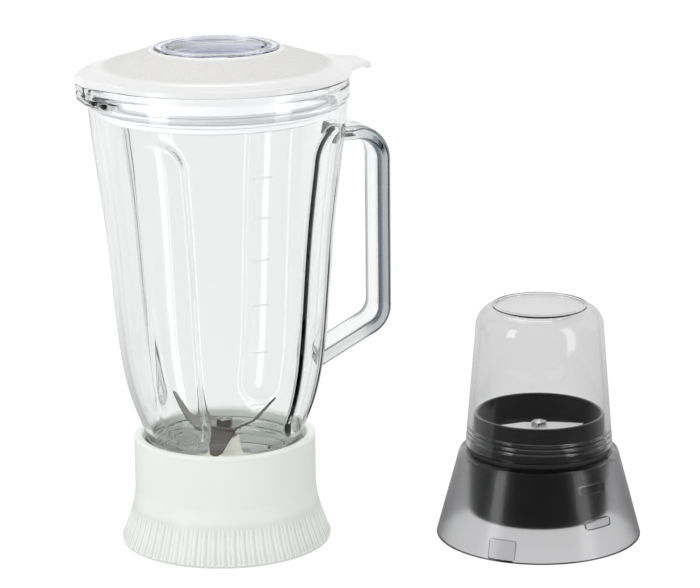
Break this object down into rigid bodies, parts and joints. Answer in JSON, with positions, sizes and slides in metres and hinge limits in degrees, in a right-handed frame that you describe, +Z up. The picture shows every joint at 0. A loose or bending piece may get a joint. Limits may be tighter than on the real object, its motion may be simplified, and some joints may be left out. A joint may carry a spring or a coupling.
{
  "type": "blender jug and dry mill set",
  "caption": "Clear fluted blender jug with strap handle, lid, filler cap and screwed-in blade unit, and a clear-cupped dry mill on a smoky flared skirt.",
  "frame": {"origin": "centre of the jug collar's underside, on the jug's axis, at the surface it stands on", "axes": "+Z up along the jug's axis, +X towards the handle, spout at -X, measuring scale at -Y"},
  "size_m": [0.2752, 0.1746, 0.2563],
  "materials": {
    "white_plastic": "satin white",
    "cream_plastic": "satin cream",
    "lid_plastic": "stippled dome with a glossy rim",
    "clear_plastic": "clear, polished",
    "tinted_clear_plastic": "clear with a blue-violet tint, polished",
    "smoky_plastic": "translucent smoke grey",
    "black_plastic": "gloss black",
    "seal_rubber": "translucent grey silicone",
    "black_rubber": "matt black rubber",
    "blade_steel": "brushed stainless steel",
    "shaft_steel": "ground steel",
    "bronze": "bearing bronze",
    "coupling_plastic": "matt black"
  },
  "bodies": {
    "base": {"base_collar": "white_plastic"},
    "blade_unit": {"blade_hub": "cream_plastic", "jug_gasket": "seal_rubber", "jug_upper_bush": "bronze", "jug_lower_bush": "bronze", "jug_shaft_seal": "seal_rubber"},
    "jug_drive": {"jug_shaft": "shaft_steel", "jug_retaining_clip": "shaft_steel", "jug_drive_coupling": "coupling_plastic", "jug_blade_spacer": "bronze", "lower_blade": "blade_steel", "upper_blade": "blade_steel", "jug_blade_nut": "blade_steel"},
    "jug": {"jug": "clear_plastic"},
    "lid": {"lid": "lid_plastic", "lid_seal": "seal_rubber"},
    "cap": {"centre_cap": "tinted_clear_plastic"},
    "mill_base": {"mill_skirt": "smoky_plastic", "mill_carrier": "black_plastic", "mill_gasket": "black_rubber", "mill_upper_bush": "bronze", "mill_lower_bush": "bronze", "mill_shaft_seal": "seal_rubber"},
    "mill_drive": {"mill_shaft": "shaft_steel", "mill_retaining_clip": "shaft_steel", "mill_drive_coupling": "coupling_plastic", "mill_blade_spacer": "blade_steel", "mill_blade": "blade_steel", "mill_blade_nut": "blade_steel"},
    "mill_cup": {"mill_cup": "clear_plastic"}
  },
  "joints": [
    {"name": "collar_unscrew", "type": "hinge", "parent": "base", "child": "blade_unit", "pos_m": [0, 0, 0], "axis": [0, 0, 1], "range_deg": [0, 60]},
    {"name": "jug_blade_spin", "type": "hinge", "parent": "blade_unit", "child": "jug_drive", "pos_m": [0, 0, 0], "axis": [0, 0, 1], "continuous": true},
    {"name": "jug_lift", "type": "slide", "parent": "blade_unit", "child": "jug", "axis": [0, 0, 1], "range_m": [0, 0.06]},
    {"name": "lid_lift", "type": "slide", "parent": "jug", "child": "lid", "axis": [0, 0, 1], "range_m": [0, 0.05]},
    {"name": "cap_lift", "type": "slide", "parent": "lid", "child": "cap", "axis": [0, 0, 1], "range_m": [0, 0.04]},
    {"name": "mill_lift", "type": "slide", "parent": "base", "child": "mill_base", "axis": [0, 0, 1], "range_m": [0, 0.06]},
    {"name": "mill_blade_spin", "type": "hinge", "parent": "mill_base", "child": "mill_drive", "pos_m": [0.15138, -0.0551, 0], "axis": [0, 0, 1], "continuous": true},
    {"name": "mill_cup_lift", "type": "slide", "parent": "mill_base", "child": "mill_cup", "axis": [0, 0, 1], "range_m": [0, 0.04]}
  ]
}
